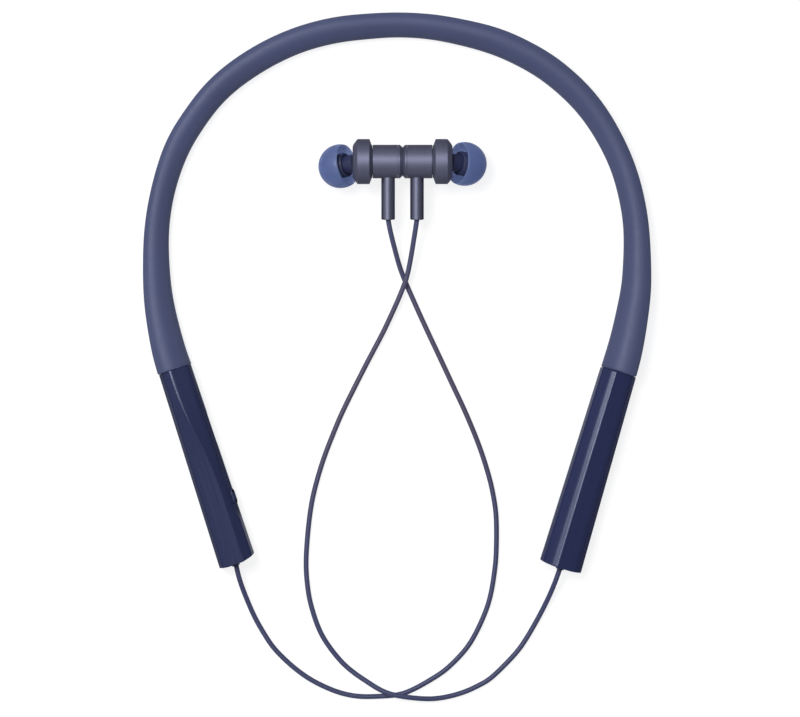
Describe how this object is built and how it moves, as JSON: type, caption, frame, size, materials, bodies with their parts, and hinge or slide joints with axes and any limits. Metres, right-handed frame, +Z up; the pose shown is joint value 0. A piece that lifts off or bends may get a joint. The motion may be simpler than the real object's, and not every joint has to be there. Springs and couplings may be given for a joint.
{
  "type": "neckband earphones",
  "caption": "Neckband earphones lying flat: silicone neck sleeve with a control pod and a battery pod, thin cords, and magnetic in-ear buds latched back to back.",
  "frame": {"origin": "on the plane the earphones lie on, at the middle of the neckband's box (sleeve, pods and latched buds, cords left out)", "axes": "+Z up from the resting plane; +Y from the pods towards the top of the neck loop; +X towards the wearer's right, the side of the battery pod"},
  "size_m": [0.1412, 0.1916, 0.0152],
  "materials": {
    "sleeve_silicone": "soft matte blue-grey silicone with a broad dull sheen",
    "spring_steel": "drawn spring-steel wire",
    "lead_jacket": "enamelled copper leads in a thin jacket",
    "anchor_nylon": "moulded nylon",
    "crimped_steel": "crimped steel tube",
    "pod_plastic": "dark navy satin lacquer over moulded plastic",
    "grommet_rubber": "soft rubber bush",
    "circuit_board": "solder-masked glass-fibre board",
    "chip_epoxy": "black moulding compound",
    "ceramic": "white ceramic",
    "crystal_can": "plated can",
    "switch_metal": "stamped cover over a dome switch",
    "key_plastic": "dark satin plastic",
    "port_steel": "drawn stainless steel",
    "port_tongue": "black moulded tongue with gold contacts",
    "mic_can": "gilt microphone can",
    "led_epoxy": "clear epoxy",
    "light_pipe": "milky clear acrylic",
    "cell_pouch": "aluminium-laminate skin",
    "foam": "closed-cell foam",
    "cord_jacket": "satin rubbery jacket",
    "bud_metal": "turned aluminium, anodised blue-grey, fine turning marks",
    "bud_cap_metal": "turned aluminium, anodised blue-grey",
    "stem_metal": "smooth satin anodised aluminium",
    "magnet_nickel": "nickel-plated magnet",
    "driver_basket": "pressed steel basket",
    "diaphragm_film": "thin polymer film",
    "mesh_steel": "woven steel mesh",
    "tip_silicone": "satin blue-grey silicone"
  },
  "bodies": {
    "neckband": {"neckband_sleeve": "sleeve_silicone", "memory_wire": "spring_steel", "neckband_leads": "lead_jacket", "left_sleeve_anchor": "anchor_nylon", "right_sleeve_anchor": "anchor_nylon", "left_wire_ferrule": "crimped_steel", "right_wire_ferrule": "crimped_steel", "control_top_shell": "pod_plastic", "control_bottom_shell": "pod_plastic", "control_cord_grommet": "grommet_rubber", "main_board": "circuit_board", "bluetooth_chip": "chip_epoxy", "flash_chip": "chip_epoxy", "bluetooth_antenna": "ceramic", "crystal": "crystal_can", "key_switch": "switch_metal", "charge_port_shell": "port_steel", "charge_port_tongue": "port_tongue", "microphone": "mic_can", "status_led": "led_epoxy", "led_light_pipe": "light_pipe", "battery_top_shell": "pod_plastic", "battery_bottom_shell": "pod_plastic", "battery_cord_grommet": "grommet_rubber", "battery_cell": "cell_pouch", "battery_protection_board": "circuit_board", "battery_foam_pad": "foam", "battery_leads": "lead_jacket", "left_cord": "cord_jacket", "right_cord": "cord_jacket"},
    "key": {"multi_function_key": "key_plastic"},
    "left_earbud": {"left_barrel": "bud_metal", "left_back_cap": "bud_cap_metal", "left_latch_magnet": "magnet_nickel", "left_front_housing": "bud_metal", "left_driver_frame": "driver_basket", "left_driver_magnet": "magnet_nickel", "left_driver_diaphragm": "diaphragm_film", "left_nozzle_mesh": "mesh_steel", "left_stem": "stem_metal", "left_stem_grommet": "grommet_rubber"},
    "right_earbud": {"right_barrel": "bud_metal", "right_back_cap": "bud_cap_metal", "right_latch_magnet": "magnet_nickel", "right_front_housing": "bud_metal", "right_driver_frame": "driver_basket", "right_driver_magnet": "magnet_nickel", "right_driver_diaphragm": "diaphragm_film", "right_nozzle_mesh": "mesh_steel", "right_stem": "stem_metal", "right_stem_grommet": "grommet_rubber"},
    "left_tip": {"left_ear_tip": "tip_silicone"},
    "right_tip": {"right_ear_tip": "tip_silicone"}
  },
  "joints": [
    {"name": "key_press", "type": "slide", "parent": "neckband", "child": "key", "axis": [-0.8992, -0.2922, -0.3256], "range_m": [0, 0.00025], "stiffness_N_per_m": 6000},
    {"name": "left_bud_release", "type": "slide", "parent": "neckband", "child": "left_earbud", "axis": [-1, 0, 0], "range_m": [0, 0.01]},
    {"name": "right_bud_release", "type": "slide", "parent": "neckband", "child": "right_earbud", "axis": [1, 0, 0], "range_m": [0, 0.01]},
    {"name": "left_tip_pull", "type": "slide", "parent": "left_earbud", "child": "left_tip", "axis": [-0.866, -0.171, -0.4698], "range_m": [0, 0.006]},
    {"name": "right_tip_pull", "type": "slide", "parent": "right_earbud", "child": "right_tip", "axis": [0.866, -0.0868, -0.4924], "range_m": [0, 0.006]}
  ]
}
